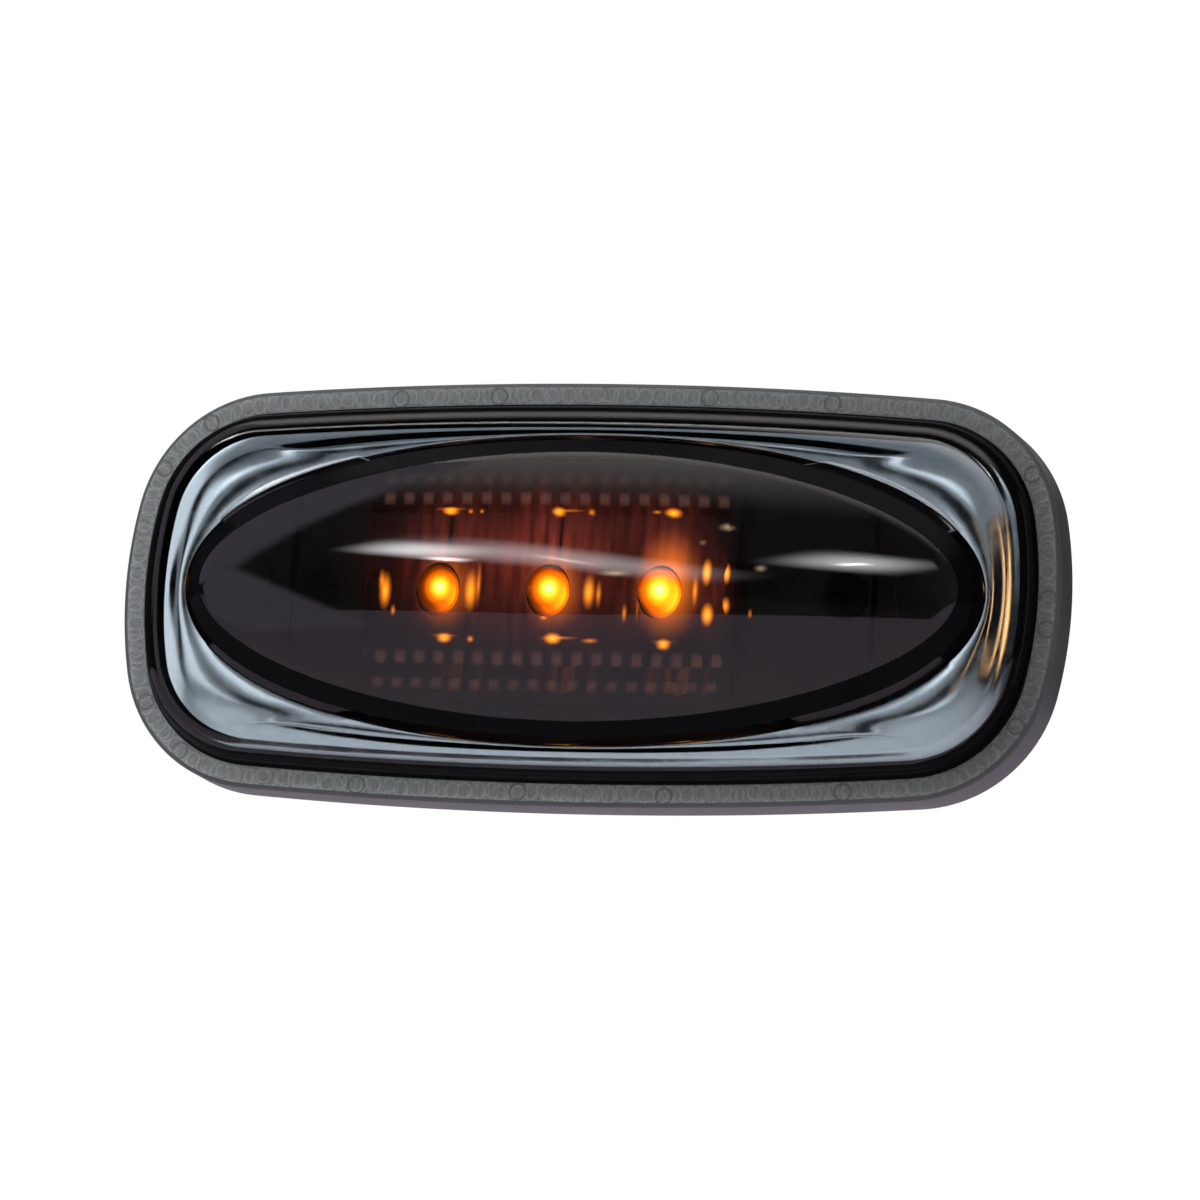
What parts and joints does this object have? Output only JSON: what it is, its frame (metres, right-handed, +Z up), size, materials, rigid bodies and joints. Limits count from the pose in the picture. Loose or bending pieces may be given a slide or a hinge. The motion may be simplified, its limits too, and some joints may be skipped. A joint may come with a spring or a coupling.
{
  "type": "marker lamp",
  "caption": "Oblong side marker lamp: smoked one-piece lens with a raised oval eye over a dark chrome bezel, amber LEDs in a faceted trough, and a studded housing with a plug socket behind.",
  "frame": {"origin": "centre of the circle through the two studs, on the gasket's back face, which is the plane that meets the body panel", "axes": "+X along the lamp's length, +Z up as mounted, lens facing -Y; the studs, the tub and the plug socket reach back along +Y"},
  "size_m": [0.136, 0.0435, 0.06],
  "materials": {
    "smoked_lens": "smoked clear polycarbonate, gloss on the raised part and satin on the flange",
    "dark_chrome": "vacuum-metallised black chrome on moulded plastic",
    "reflector_metallised": "metallised grey plastic",
    "housing_plastic": "black moulded plastic, fine grain",
    "gasket_foam": "closed-cell black foam rubber",
    "sealant": "cured grey sealant",
    "board_laminate": "dark green solder mask over glass laminate",
    "led_resin": "clear amber epoxy, lit",
    "component_black": "black moulded component body",
    "component_tan": "tan ceramic body",
    "tinned_brass": "tin plated",
    "screw_steel": "black zinc plated",
    "stud_steel": "yellow zinc plated",
    "vent_membrane": "white porous membrane"
  },
  "bodies": {
    "root": {"outer_lens": "smoked_lens", "chrome_bezel": "dark_chrome", "reflector": "reflector_metallised", "housing": "housing_plastic", "mounting_gasket": "gasket_foam", "sealant_bead": "sealant", "circuit_board": "board_laminate", "led_1": "led_resin", "led_2": "led_resin", "led_3": "led_resin", "series_resistor_1": "component_black", "series_resistor_2": "component_black", "polarity_diode": "component_black", "filter_capacitor": "component_tan", "terminal_blade_positive": "tinned_brass", "terminal_blade_negative": "tinned_brass", "board_screw_left": "screw_steel", "board_screw_right": "screw_steel", "mounting_stud_left": "stud_steel", "mounting_stud_right": "stud_steel", "breather_patch": "vent_membrane"}
  },
  "joints": []
}
